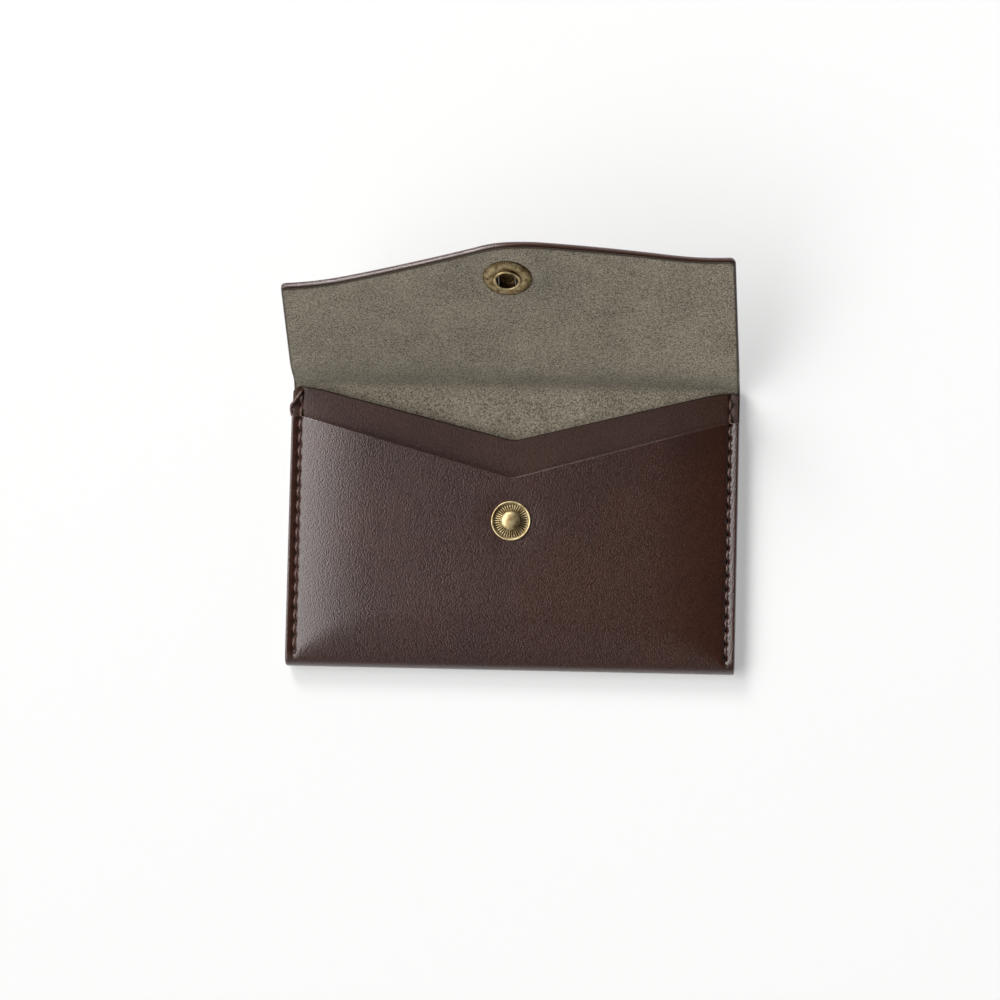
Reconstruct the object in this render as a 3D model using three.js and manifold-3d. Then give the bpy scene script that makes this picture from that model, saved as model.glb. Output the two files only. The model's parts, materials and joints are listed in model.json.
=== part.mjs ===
// A small leather wallet lying on its back with the flap standing open.
// X runs across the width, Y up towards the flap, Z up from the table.
// The origin is the middle of the back's outer face.
import * as THREE from 'three';
import { mergeVertices } from 'three/addons/utils/BufferGeometryUtils.js';
import Module from 'manifold-3d';

const wasm = await Module();
wasm.setup();

// Driving dimensions, in millimetres and degrees
const bodyWidth = 105;
const bodyHeight = 68;
const leatherThickness = 1.4;
const liningThickness = 0.4;
const dividerThickness = 1.2;
const glueGap = 0.1; // film of glue between bonded layers
const foldGap = 0.1; // where one sheet is split at a fold
const fitGap = 0.3; // between pieces that only rest against each other

// The swell of the front and the divider over the pockets
const frontRise = 2.6;
const dividerRise = 1.3;
const flangeWidth = 3; // flat strip along each side seam
const swellWidth = 23; // from the flange to the level crown
const bottomSwellHeight = 14; // from the bottom fold to the level crown

// Edges of the pockets, measured down from the top of the body
const frontShoulderDrop = 9.2;
const frontNotchDrop = 23;
const frontShoulderRun = 5;
const dividerNotchDrop = 14.1;
const dividerShoulderRun = 8;
const notchRounding = 1.5;

// The spine, which folds up from the back, and the flap, measured from the line it folds on
const spineRestAngle = 72; // above the table, open
const flapRestBend = -17; // from the spine, open
const flapSideReach = 32.3;
const flapTipReach = 42.5;
const flapSideTaper = 0.9; // each side, from the fold to the corner
const flapShoulderRun = 16;
const flapTipRounding = 6;
const flapCornerRadius = 1.3;
const flapFlatHalf = 6; // level on each side of the snap
const flapRightLean = 11.9; // degrees that the open flap's right side lies further back
const flapLeftCurl = 5; // degrees that its left side stands up more
const flapCurlStart = 22; // from the middle
const hingeGap = 0.3; // between a rounded root and the edge it folds on

// Side seams
const stitchPitch = 3.2;
const stitchInset = 2.1; // seam line from the side edge
const stitchEndMargin = 1.1; // outer holes from the folds
const threadWidth = 0.6;
const threadHeight = 0.5;
const threadPlay = 0.05;
const stitchSpacing = 0.4; // open length between two stitches
const legLength = 0.6; // thread in its hole, along the seam
const holeClearance = 0.1;
const frontGrooveDepth = 0.3;
const lockGap = 0.3; // between the two threads inside the seam

// Snap fastener
const snapDrop = 33.4; // below the top of the body
const pressDepth = 0.25; // how far a metal flange is set into leather
const metalGap = 0.05; // between metal and what it is set on
const studFlangeDiameter = 9.3;
const studFlangeProud = 0.3;
const studRimWidth = 0.6;
const studDishDepth = 0.2;
const studNeckDiameter = 3.3;
const studNeckHeight = 0.75;
const studHeadDiameter = 4.4;
const studHeadHeight = 1;
const postDiameter = 2.2;
const postClearance = 0.1;
const eyeletFlangeDiameter = 8;
const eyeletFlangeThickness = 0.4;
const socketFlangeDiameter = 11.3;
const socketFlangeThickness = 0.5;
const socketDrumDiameter = 6.4;
const socketMouthDiameter = 4.95;
const socketProud = 1.2; // mouth above the lining
const socketPressDepth = 0.4;
const socketBaseThickness = 0.3;
const capDiameter = 10.5;
const capHeight = 1.4;
const capEdgeHeight = 0.4;
const capPostDiameter = 4;
const snapGap = 0.15; // between the two halves when closed
const springWireDiameter = 0.4;
const springSpacing = 4; // between the two wire centres
const springDepth = 0.45; // wire centre below the mouth
const springHold = 0.35; // wire held at each end in the drum's wall
const roundSides = 24;

// Levels of the layers where they are sewn together, from the back up
const backLiningLevel = leatherThickness + glueGap;
const dividerLevel = backLiningLevel + liningThickness + glueGap;
const dividerTop = dividerLevel + dividerThickness;
const frontLiningLevel = dividerTop + glueGap;
const frontLevel = frontLiningLevel + liningThickness + glueGap;
const seamTop = frontLevel + leatherThickness;

// Places that follow from the sizes
const halfWidth = bodyWidth / 2;
const bodyTop = bodyHeight / 2;
const sheetThickness = leatherThickness + glueGap + liningThickness;
const liningInset = leatherThickness + glueGap;
const bottomFoldRadius = seamTop / 2;
const bottomFoldY = bottomFoldRadius - bodyTop;
const panelLow = bottomFoldY + foldGap;
const dividerShoulder = bodyTop - sheetThickness - fitGap;
const frontShoulder = bodyTop - frontShoulderDrop;
const snapY = bodyTop - snapDrop;
const crownTop = seamTop + frontRise;
const flapHalf = sheetThickness / 2;
const closedLiningLevel = crownTop + studFlangeProud + snapGap + socketProud;

// The two fold lines lie over each other when the wallet is closed
const foldY = bodyTop - flapHalf;
const spineLength = closedLiningLevel;
const spineEnd = spineLength - flapHalf - hingeGap;
const backTop = foldY - flapHalf - hingeGap;
const snapReach = foldY - snapY;

// Layers of the flap, through its thickness from the fold line
const flapOuterFace = -flapHalf;
const flapLiningBase = flapHalf - liningThickness;
const flapLeatherInner = flapOuterFace + leatherThickness;
const socketMouth = flapHalf + socketProud;
const socketBase = flapLeatherInner - socketPressDepth + metalGap;

const finishes = {
  leather: { color: 0x4a3630, roughness: 0.5, metalness: 0 },
  dividerLeather: { color: 0x3c2b26, roughness: 0.55, metalness: 0 },
  lining: { color: 0x6b6559, roughness: 0.95, metalness: 0 },
  thread: { color: 0x4b2f29, roughness: 0.7, metalness: 0 },
  brass: { color: 0x8a6d3b, roughness: 0.35, metalness: 1 },
  steel: { color: 0x77746e, roughness: 0.3, metalness: 1 },
};

const wallet = new THREE.Group();
const pocketBody = new THREE.Group();
const spine = new THREE.Group();
const flap = new THREE.Group();
spine.position.set(0, foldY, flapHalf);
spine.rotation.x = THREE.MathUtils.degToRad(spineRestAngle);
flap.position.set(0, spineLength, 0);
flap.rotation.x = THREE.MathUtils.degToRad(flapRestBend);
spine.add(flap);
wallet.add(pocketBody, spine);

function addPiece(group, name, geometry, finish) {
  const piece = new THREE.Mesh(geometry, new THREE.MeshStandardMaterial(finishes[finish]));
  piece.name = name;
  group.add(piece);
}

// A closed geometry as a solid that can be cut and joined
function toSolid(geometry) {
  const bare = geometry.clone();
  bare.deleteAttribute('normal');
  bare.deleteAttribute('uv');
  const merged = mergeVertices(bare);
  const vertProperties = new Float32Array(merged.attributes.position.array);
  const triVerts = new Uint32Array(merged.index.array);
  return new wasm.Manifold(new wasm.Mesh({ numProp: 3, vertProperties, triVerts }));
}

function toGeometry(solid) {
  const mesh = solid.getMesh();
  const geometry = new THREE.BufferGeometry();
  geometry.setAttribute('position', new THREE.BufferAttribute(mesh.vertProperties, mesh.numProp));
  geometry.setIndex(new THREE.BufferAttribute(mesh.triVerts, 1));
  geometry.computeVertexNormals();
  return geometry;
}

function join(solids) {
  return solids.reduce((whole, solid) => whole.add(solid));
}

function cut(geometry, ...cutters) {
  return toGeometry(cutters.reduce((rest, cutter) => rest.subtract(cutter), toSolid(geometry)));
}

// A box given by its low and high limits along X, Y and Z
function block([lowX, highX], [lowY, highY], [lowZ, highZ]) {
  const geometry = new THREE.BoxGeometry(highX - lowX, highY - lowY, highZ - lowZ);
  geometry.translate((lowX + highX) / 2, (lowY + highY) / 2, (lowZ + highZ) / 2);
  return geometry;
}

// A profile of radius and height pairs turned about an upright axis at x = 0 and the given y
function turned(profile, y) {
  const points = profile.map(([radius, height]) => new THREE.Vector2(radius, height));
  const geometry = new THREE.LatheGeometry(points, roundSides);
  geometry.rotateX(Math.PI / 2);
  geometry.translate(0, y, 0);
  return geometry;
}

function roundHole(diameter, y, low, high) {
  const radius = diameter / 2;
  return toSolid(turned([[0, low], [radius, low], [radius, high], [0, high]], y));
}

// A section drawn in Y and Z, carried across the full width
function acrossWidth(section) {
  const geometry = new THREE.ExtrudeGeometry(section, {
    depth: bodyWidth,
    bevelEnabled: false,
    curveSegments: 6,
  });
  geometry.translate(0, 0, -halfWidth);
  const axisX = new THREE.Vector3(1, 0, 0);
  const axisY = new THREE.Vector3(0, 1, 0);
  const axisZ = new THREE.Vector3(0, 0, 1);
  geometry.applyMatrix4(new THREE.Matrix4().makeBasis(axisY, axisZ, axisX));
  return geometry;
}

// Level of a notched or pointed edge: it leaves the side edges gently, runs straight to
// the middle and is rounded there
function pointedEdge(x, sideLevel, middleLevel, shoulderRun, rounding) {
  const slope = (middleLevel - sideLevel) / (halfWidth - shoulderRun / 2 - rounding / 2);
  const fromMiddle = Math.abs(x);
  const fromSide = halfWidth - fromMiddle;
  const onShoulder = fromSide < shoulderRun;
  const run = onShoulder ? fromSide ** 2 / (2 * shoulderRun) : fromSide - shoulderRun / 2;
  const trimmed = fromMiddle < rounding ? (rounding - fromMiddle) ** 2 / (2 * rounding) : 0;
  return sideLevel + slope * (run - trimmed);
}

function frontEdge(x) {
  const notch = bodyTop - frontNotchDrop;
  return pointedEdge(x, frontShoulder, notch, frontShoulderRun, notchRounding);
}

function dividerEdge(x) {
  const notch = bodyTop - dividerNotchDrop;
  return pointedEdge(x, dividerShoulder, notch, dividerShoulderRun, notchRounding);
}

function flapEdge(x) {
  return pointedEdge(x, flapSideReach, flapTipReach, flapShoulderRun, flapTipRounding);
}

// Share of the full rise at a point: none at the seams and the bottom fold, one on the crown
function swell(x, y) {
  const acrossRun = THREE.MathUtils.clamp((halfWidth - Math.abs(x) - flangeWidth) / swellWidth, 0, 1);
  const upRun = THREE.MathUtils.clamp((y - panelLow) / bottomSwellHeight, 0, 1);
  const across = 1 - (1 - acrossRun) ** 2;
  const up = 1 - (1 - upRun) ** 2;
  return across * up;
}

// Columns of a swollen sheet: close together on the slopes, wide on the crown
const slopeSteps = 4;
const sheetRows = 10;
const crownEdge = halfWidth - flangeWidth - swellWidth;
const halfColumns = [halfWidth];
for (let step = 0; step <= slopeSteps; step++) {
  halfColumns.push(crownEdge + swellWidth * (1 - step / slopeSteps));
}
halfColumns.push((crownEdge + notchRounding) / 2, notchRounding);
const columns = [...halfColumns.map((x) => -x), 0, ...halfColumns.reverse()];

// A sheet between the bottom fold and its own top edge, swollen over the pockets: a lower and
// an upper face on one grid, split along the same diagonals, and a wall round the border
function swollenSheet(topEdge, level, thickness, rise) {
  const lastColumn = columns.length - 1;
  const positions = [];
  const triangles = [];
  const corner = (face, column, row) => (face * columns.length + column) * (sheetRows + 1) + row;
  const addFace = (first, second, third, fourth) => {
    triangles.push(first, second, third, first, third, fourth);
  };
  for (const layer of [0, thickness]) {
    for (const x of columns) {
      for (let row = 0; row <= sheetRows; row++) {
        const y = THREE.MathUtils.lerp(panelLow, topEdge(x), row / sheetRows);
        positions.push(x, y, level + rise * swell(x, y) + layer);
      }
    }
  }
  for (let column = 0; column < lastColumn; column++) {
    for (let row = 0; row < sheetRows; row++) {
      const around = [[0, 0], [1, 0], [1, 1], [0, 1]];
      if (columns[column] < 0) around.push(around.shift());
      const faceCorners = (face) => around.map(([across, up]) => corner(face, column + across, row + up));
      const [first, ...others] = faceCorners(0);
      addFace(first, ...others.reverse());
      addFace(...faceCorners(1));
    }
    const next = column + 1;
    addFace(corner(0, column, 0), corner(0, next, 0), corner(1, next, 0), corner(1, column, 0));
    addFace(
      corner(0, next, sheetRows),
      corner(0, column, sheetRows),
      corner(1, column, sheetRows),
      corner(1, next, sheetRows),
    );
  }
  for (let row = 0; row < sheetRows; row++) {
    const up = row + 1;
    addFace(corner(0, 0, up), corner(0, 0, row), corner(1, 0, row), corner(1, 0, up));
    addFace(
      corner(0, lastColumn, row),
      corner(0, lastColumn, up),
      corner(1, lastColumn, up),
      corner(1, lastColumn, row),
    );
  }
  const geometry = new THREE.BufferGeometry();
  geometry.setAttribute('position', new THREE.Float32BufferAttribute(positions, 3));
  geometry.setIndex(triangles);
  return geometry;
}

// Stitch holes of both side seams, through every layer
const seamX = halfWidth - stitchInset;
const seamSides = { left: -seamX, right: seamX };
const holeLow = panelLow + stitchEndMargin;
const stitchCount = Math.floor((backTop - stitchEndMargin - holeLow) / stitchPitch);
const holePlaces = Array.from({ length: stitchCount + 1 }, (_, hole) => holeLow + hole * stitchPitch);
const seamStart = holePlaces[0];
const seamEnd = holePlaces[stitchCount];
const cutDepth = seamTop + bodyHeight; // more than any layer

// A strip of the given width about a seam line
function aboutSeam(x, width) {
  return [x - width / 2, x + width / 2];
}

function stitchHole(x, y) {
  const width = aboutSeam(x, threadWidth + 2 * holeClearance);
  const length = [y - legLength / 2 - holeClearance, y + legLength / 2 + holeClearance];
  return toSolid(block(width, length, [-cutDepth, cutDepth]));
}

function grooves(low, high) {
  const length = [seamStart - stitchEndMargin / 2, seamEnd + stitchEndMargin / 2];
  const strips = Object.values(seamSides).map((x) => {
    const width = aboutSeam(x, threadWidth + 2 * holeClearance);
    return toSolid(block(width, length, [low, high]));
  });
  return join(strips);
}

const stitchHoles = join(
  Object.values(seamSides).flatMap((x) => holePlaces.map((y) => stitchHole(x, y))),
);
const frontGrooves = grooves(seamTop - frontGrooveDepth, cutDepth);
const backGrooveDepth = threadHeight + 2 * threadPlay;
const backGrooves = grooves(-cutDepth, backGrooveDepth);

// Outer leather of the body: back, bottom fold and front are one folded sheet
function bottomFoldSection(inset, thickness) {
  const outer = bottomFoldRadius - inset;
  const inner = outer - thickness;
  const section = new THREE.Shape();
  section.moveTo(bottomFoldY, bottomFoldRadius + outer);
  section.absarc(bottomFoldY, bottomFoldRadius, outer, Math.PI / 2, 1.5 * Math.PI, false);
  section.lineTo(bottomFoldY, bottomFoldRadius - inner);
  section.absarc(bottomFoldY, bottomFoldRadius, inner, 1.5 * Math.PI, Math.PI / 2, true);
  section.closePath();
  return section;
}

function backSheet(level, thickness) {
  return block([-halfWidth, halfWidth], [panelLow, backTop], [level, level + thickness]);
}

const studSeat = crownTop - pressDepth;
const postHole = roundHole(postDiameter + 2 * postClearance, snapY, -cutDepth, cutDepth);
const postHoleInFront = postHole.intersect(toSolid(
  block([-halfWidth, halfWidth], [-bodyTop, bodyTop], [dividerTop + dividerRise, cutDepth]),
));
const studRecess = roundHole(studFlangeDiameter + 2 * postClearance, snapY, studSeat, cutDepth);

const backPanel = cut(backSheet(0, leatherThickness), stitchHoles, backGrooves);
const frontSheet = swollenSheet(frontEdge, frontLevel, leatherThickness, frontRise);
const frontPanel = cut(frontSheet, stitchHoles, frontGrooves, postHoleInFront, studRecess);
addPiece(pocketBody, 'back_panel', backPanel, 'leather');
addPiece(pocketBody, 'bottom_fold', acrossWidth(bottomFoldSection(0, leatherThickness)), 'leather');
addPiece(pocketBody, 'front_panel', frontPanel, 'leather');

// Lining bonded to the inside of the same sheet
const backLining = cut(backSheet(backLiningLevel, liningThickness), stitchHoles);
const frontLiningSheet = swollenSheet(frontEdge, frontLiningLevel, liningThickness, frontRise);
const frontLining = cut(frontLiningSheet, stitchHoles, postHoleInFront);
const bottomFoldLining = acrossWidth(bottomFoldSection(liningInset, liningThickness));
addPiece(pocketBody, 'back_lining', backLining, 'lining');
addPiece(pocketBody, 'bottom_fold_lining', bottomFoldLining, 'lining');
addPiece(pocketBody, 'front_lining', frontLining, 'lining');

// Divider between the two pockets, sewn in with the side seams
const dividerSheet = swollenSheet(dividerEdge, dividerLevel, dividerThickness, dividerRise);
addPiece(pocketBody, 'divider', cut(dividerSheet, stitchHoles), 'dividerLeather');

// Lock-stitched thread: bars on the face, with a leg down each hole to the middle of the seam
function seamThread(x, faceAt, outward, legEnd) {
  const width = aboutSeam(x, threadWidth);
  const blocks = [];
  const addBar = (from, to, face) => {
    const levels = [face + outward * threadPlay, face + outward * (threadPlay + threadHeight)];
    blocks.push(toSolid(block(width, [from, to], levels.sort((a, b) => a - b))));
  };
  const addUpright = (y, from, to) => {
    const levels = [from, to].sort((a, b) => a - b);
    blocks.push(toSolid(block(width, [y - legLength / 2, y + legLength / 2], levels)));
  };
  const edge = frontEdge(x) + fitGap + legLength / 2;
  const bury = outward * (threadPlay + threadHeight / 2);
  holePlaces.forEach((y, hole) => {
    addUpright(y, legEnd, faceAt(y) + bury);
    if (hole === stitchCount) return;
    const next = y + stitchPitch;
    const start = y + stitchSpacing / 2;
    const end = next - stitchSpacing / 2;
    if (faceAt(y) === faceAt(next)) {
      addBar(start, end, faceAt(y));
      return;
    }
    addBar(start, edge, faceAt(y));
    addUpright(edge, faceAt(y) + bury, faceAt(next) + bury);
    addBar(edge, end, faceAt(next));
  });
  return toGeometry(join(blocks));
}

const seamMiddle = seamTop / 2;
for (const [side, x] of Object.entries(seamSides)) {
  const onFront = (y) => y < frontEdge(x);
  const frontFace = (y) => (onFront(y) ? seamTop - frontGrooveDepth : dividerTop);
  const backFace = () => backGrooveDepth;
  const frontThread = seamThread(x, frontFace, 1, seamMiddle + lockGap / 2);
  const backThread = seamThread(x, backFace, -1, seamMiddle - lockGap / 2);
  addPiece(pocketBody, `${side}_front_thread`, frontThread, 'thread');
  addPiece(pocketBody, `${side}_back_thread`, backThread, 'thread');
}

// Stud of the snap, set into the front, and the eyelet whose post holds it from inside the pocket
const studBase = studSeat + metalGap;
const studFace = crownTop + studFlangeProud;
const studFlangeRadius = studFlangeDiameter / 2;
const studNeckRadius = studNeckDiameter / 2;
const studHeadRadius = studHeadDiameter / 2;
const studHeadLow = studFace + studNeckHeight;
const studHeadTop = studHeadLow + studHeadHeight;
const studBoreRadius = postDiameter / 2 + postClearance;
const studBoreTop = studHeadLow;
const studDish = studFace - studDishDepth;
addPiece(pocketBody, 'snap_stud', turned([
  [0, studBoreTop],
  [studBoreRadius, studBoreTop],
  [studBoreRadius, studBase],
  [studFlangeRadius, studBase],
  [studFlangeRadius, studFace - studRimWidth / 4],
  [studFlangeRadius - studRimWidth / 4, studFace],
  [studFlangeRadius - studRimWidth, studFace],
  [studFlangeRadius - 2 * studRimWidth, studDish],
  [studHeadRadius + studRimWidth, studDish],
  [studNeckRadius, studFace],
  [studNeckRadius, studHeadLow],
  [studHeadRadius - studHeadHeight / 5, studHeadLow],
  [studHeadRadius, studHeadLow + studHeadHeight / 5],
  [studHeadRadius, studHeadLow + studHeadHeight / 2],
  [studHeadRadius * 0.8, studHeadLow + studHeadHeight * 0.85],
  [studHeadRadius * 0.45, studHeadTop],
  [0, studHeadTop],
], snapY), 'brass');

const eyeletTop = frontLiningLevel + frontRise - metalGap;
const eyeletLow = eyeletTop - eyeletFlangeThickness;
const eyeletRadius = eyeletFlangeDiameter / 2;
addPiece(pocketBody, 'stud_eyelet', turned([
  [0, eyeletLow],
  [eyeletRadius - eyeletFlangeThickness / 2, eyeletLow],
  [eyeletRadius, eyeletLow + eyeletFlangeThickness / 2],
  [eyeletRadius, eyeletTop],
  [postDiameter / 2, eyeletTop],
  [postDiameter / 2, studBoreTop - postClearance],
  [0, studBoreTop - postClearance],
], snapY), 'brass');

// One layer of the sheet between two levels, drawn flat from the line that it folds on, whose
// rounded root follows the circle about that line
function foldingLayer(outline, low, high) {
  const plate = new THREE.ExtrudeGeometry(outline, {
    depth: high - low,
    bevelEnabled: false,
    curveSegments: 4,
  });
  plate.translate(0, 0, low);
  const root = new THREE.Shape();
  const startAngle = Math.PI - Math.asin(high / flapHalf);
  const endAngle = Math.PI - Math.asin(low / flapHalf);
  root.moveTo(flapCornerRadius, low);
  root.lineTo(flapCornerRadius, high);
  root.absarc(0, 0, flapHalf, startAngle, endAngle, false);
  root.closePath();
  return toGeometry(toSolid(plate).add(toSolid(acrossWidth(root))));
}

// Spine, the strip between the back and the flap
const spineOutline = new THREE.Shape();
spineOutline.moveTo(halfWidth, 0);
spineOutline.lineTo(halfWidth, spineEnd);
spineOutline.lineTo(-halfWidth, spineEnd);
spineOutline.lineTo(-halfWidth, 0);
spineOutline.closePath();
addPiece(spine, 'spine', foldingLayer(spineOutline, flapOuterFace, flapLeatherInner), 'leather');
addPiece(spine, 'spine_lining', foldingLayer(spineOutline, flapLiningBase, flapHalf), 'lining');

// Turn of the open flap about its fold line: none about the snap, then back to the right and up
// to the left
function flapTurn(x) {
  const start = x > 0 ? flapFlatHalf : flapCurlStart;
  const run = THREE.MathUtils.clamp((Math.abs(x) - start) / (halfWidth - start), 0, 1);
  return THREE.MathUtils.degToRad(x > 0 ? -flapRightLean * run : flapLeftCurl * run ** 2);
}

// Reach of the flap from its fold line, with the round corners taken off
function flapReach(x) {
  const fromSide = Math.min(halfWidth - Math.abs(x), flapCornerRadius);
  const cornerDrop = flapCornerRadius - Math.sqrt(2 * flapCornerRadius * fromSide - fromSide ** 2);
  return flapEdge(x * (1 - flapSideTaper / halfWidth)) - cornerDrop;
}

// Columns of the flap: close together at the round corners and the point
const flapRows = 4;
const rootSteps = 4;
const flapHalfColumns = [0, 0.15, 0.5, 1].map((share) => halfWidth - share * flapCornerRadius);
for (const share of [0.92, 0.82, 0.72, 0.62, 0.52, 0.42, 0.3, 0.2]) flapHalfColumns.push(share * halfWidth);
flapHalfColumns.push(flapTipRounding, flapTipRounding / 2);
const flapColumns = [...flapHalfColumns.map((x) => -x), 0, ...flapHalfColumns.reverse()];

// One layer of the flap between two levels: at each column a section from its rounded root on the
// fold line out to the edge, turned about that line
function flapLayer(low, high) {
  const section = [];
  const root = (level) => -Math.sqrt(flapHalf ** 2 - level ** 2);
  for (let row = 0; row <= flapRows; row++) section.push([root(low), row / flapRows, low]);
  for (let row = flapRows; row >= 0; row--) section.push([root(high), row / flapRows, high]);
  const arcHigh = Math.asin(high / flapHalf);
  const arcLow = Math.asin(low / flapHalf);
  for (let step = 1; step < rootSteps; step++) {
    const angle = THREE.MathUtils.lerp(arcHigh, arcLow, step / rootSteps);
    section.push([-flapHalf * Math.cos(angle), 0, flapHalf * Math.sin(angle)]);
  }
  const around = section.length;
  const lastColumn = flapColumns.length - 1;
  const positions = [];
  const triangles = [];
  for (const x of flapColumns) {
    const turn = flapTurn(x);
    for (const [start, share, level] of section) {
      const reach = THREE.MathUtils.lerp(start, flapReach(x), share);
      const taper = flapSideTaper * THREE.MathUtils.clamp(reach / flapSideReach, 0, 1);
      positions.push(
        x * (1 - taper / halfWidth),
        reach * Math.cos(turn) - level * Math.sin(turn),
        reach * Math.sin(turn) + level * Math.cos(turn),
      );
    }
  }
  for (let column = 0; column < lastColumn; column++) {
    for (let step = 0; step < around; step++) {
      const here = column * around;
      const next = (step + 1) % around;
      const ring = [here + step, here + next, here + around + next, here + around + step];
      if (step > flapRows) ring.push(ring.shift());
      triangles.push(ring[0], ring[1], ring[2], ring[0], ring[2], ring[3]);
    }
  }
  const apex = around - 1;
  const far = lastColumn * around;
  for (let step = 0; step < around - 2; step++) {
    triangles.push(apex, step + 1, step);
    triangles.push(far + apex, far + step, far + step + 1);
  }
  const geometry = new THREE.BufferGeometry();
  geometry.setAttribute('position', new THREE.Float32BufferAttribute(positions, 3));
  geometry.setIndex(triangles);
  return geometry;
}

const drumHole = socketDrumDiameter + 2 * postClearance;
const capPostHole = roundHole(capPostDiameter + 2 * postClearance, snapReach, -cutDepth, cutDepth);
const drumRecess = roundHole(drumHole, snapReach, flapLeatherInner - socketPressDepth, cutDepth);
const flapLeather = cut(flapLayer(flapOuterFace, flapLeatherInner), capPostHole, drumRecess);
const flapLining = cut(flapLayer(flapLiningBase, flapHalf), drumRecess);
addPiece(flap, 'flap_leather', flapLeather, 'leather');
addPiece(flap, 'flap_lining', flapLining, 'lining');

// Socket of the snap on the lining, with two spring wires across its mouth
const socketFlangeRadius = socketFlangeDiameter / 2;
const drumRadius = socketDrumDiameter / 2;
const mouthRadius = socketMouthDiameter / 2;
const socketFloor = socketBase + socketBaseThickness;
const flangeLow = flapHalf + metalGap;
const flangeTop = flangeLow + socketFlangeThickness;
const rimRounding = socketFlangeThickness / 3;
const baseHoleRadius = postDiameter / 2 + postClearance;
const socketRing = turned([
  [baseHoleRadius, socketBase],
  [drumRadius, socketBase],
  [drumRadius, flangeLow],
  [socketFlangeRadius, flangeLow],
  [socketFlangeRadius, flangeTop - rimRounding],
  [socketFlangeRadius - rimRounding, flangeTop],
  [drumRadius + rimRounding, flangeTop],
  [drumRadius, socketMouth - rimRounding],
  [drumRadius - rimRounding, socketMouth],
  [mouthRadius, socketMouth],
  [mouthRadius, socketFloor],
  [baseHoleRadius, socketFloor],
  [baseHoleRadius, socketBase],
], snapReach);
const springLevel = socketMouth - springDepth;
const springHalfSpacing = springSpacing / 2;
const springHalfLength = Math.sqrt(mouthRadius ** 2 - springHalfSpacing ** 2) + springHold;
const slotHalf = springWireDiameter / 2 + holeClearance;
const springSlots = [-springHalfSpacing, springHalfSpacing].map((x) => toSolid(block(
  [x - slotHalf, x + slotHalf],
  [snapReach - springHalfLength - holeClearance, snapReach + springHalfLength + holeClearance],
  [springLevel - slotHalf, springLevel + slotHalf],
)));
addPiece(flap, 'snap_socket', cut(socketRing, ...springSlots), 'brass');
for (const [side, sign] of [['left', -1], ['right', 1]]) {
  const wireRadius = springWireDiameter / 2;
  const wire = new THREE.CylinderGeometry(wireRadius, wireRadius, 2 * springHalfLength, 8);
  wire.translate(sign * springHalfSpacing, snapReach, springLevel);
  addPiece(flap, `socket_spring_${side}`, wire, 'steel');
}

// Domed cap on the outside of the flap; its post goes through to hold the socket
const capRadius = capDiameter / 2;
const capFace = flapOuterFace - metalGap;
const capEdge = capFace - capEdgeHeight;
const capTop = capFace - capHeight;
const capPostRadius = capPostDiameter / 2;
const capDomeSteps = 5;
const capProfile = [];
for (let step = 0; step <= capDomeSteps; step++) {
  const angle = (Math.PI / 2) * (step / capDomeSteps);
  capProfile.push([capRadius * Math.sin(angle), capEdge + (capTop - capEdge) * Math.cos(angle)]);
}
capProfile.push(
  [capRadius, capFace],
  [capPostRadius, capFace],
  [capPostRadius, socketBase - metalGap],
  [postDiameter / 2, socketBase - metalGap],
  [postDiameter / 2, socketFloor],
  [0, socketFloor],
);
addPiece(flap, 'snap_cap', turned(capProfile, snapReach), 'brass');

export default wallet;
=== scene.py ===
import json
import math
import bpy
import numpy as np
from mathutils import Matrix, Vector

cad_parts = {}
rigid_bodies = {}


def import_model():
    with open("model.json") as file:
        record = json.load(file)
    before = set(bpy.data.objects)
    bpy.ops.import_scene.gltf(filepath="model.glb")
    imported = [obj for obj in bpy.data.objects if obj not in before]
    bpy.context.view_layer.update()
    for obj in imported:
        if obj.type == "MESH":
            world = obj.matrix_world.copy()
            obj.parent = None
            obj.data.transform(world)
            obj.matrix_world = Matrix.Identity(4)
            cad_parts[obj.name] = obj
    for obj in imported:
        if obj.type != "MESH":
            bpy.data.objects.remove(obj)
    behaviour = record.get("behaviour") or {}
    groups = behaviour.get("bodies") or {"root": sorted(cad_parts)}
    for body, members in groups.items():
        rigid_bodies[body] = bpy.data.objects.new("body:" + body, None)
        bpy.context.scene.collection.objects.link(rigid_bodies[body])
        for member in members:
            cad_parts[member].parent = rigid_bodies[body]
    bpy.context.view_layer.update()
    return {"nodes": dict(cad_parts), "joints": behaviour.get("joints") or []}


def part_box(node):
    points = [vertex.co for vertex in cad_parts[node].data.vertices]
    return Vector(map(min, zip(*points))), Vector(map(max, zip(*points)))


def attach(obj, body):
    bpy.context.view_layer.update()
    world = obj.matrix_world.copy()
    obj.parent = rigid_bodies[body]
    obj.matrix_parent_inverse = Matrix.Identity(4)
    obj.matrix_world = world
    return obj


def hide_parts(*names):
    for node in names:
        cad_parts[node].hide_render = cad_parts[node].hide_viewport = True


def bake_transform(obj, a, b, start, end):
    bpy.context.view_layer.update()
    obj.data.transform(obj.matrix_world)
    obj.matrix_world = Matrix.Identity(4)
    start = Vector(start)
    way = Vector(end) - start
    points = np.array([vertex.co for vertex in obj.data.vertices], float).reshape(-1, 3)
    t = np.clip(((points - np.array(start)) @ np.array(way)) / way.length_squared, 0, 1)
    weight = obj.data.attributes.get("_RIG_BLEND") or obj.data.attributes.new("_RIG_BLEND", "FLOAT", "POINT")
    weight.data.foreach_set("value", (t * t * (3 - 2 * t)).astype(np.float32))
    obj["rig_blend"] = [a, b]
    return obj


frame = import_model()
mm = 0.001
print("frame loaded:", len(frame["nodes"]), "nodes")


def nodeBox(node):
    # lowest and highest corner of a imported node, in mm
    low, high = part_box(node)
    return np.array(low) / mm, np.array(high) / mm


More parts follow.
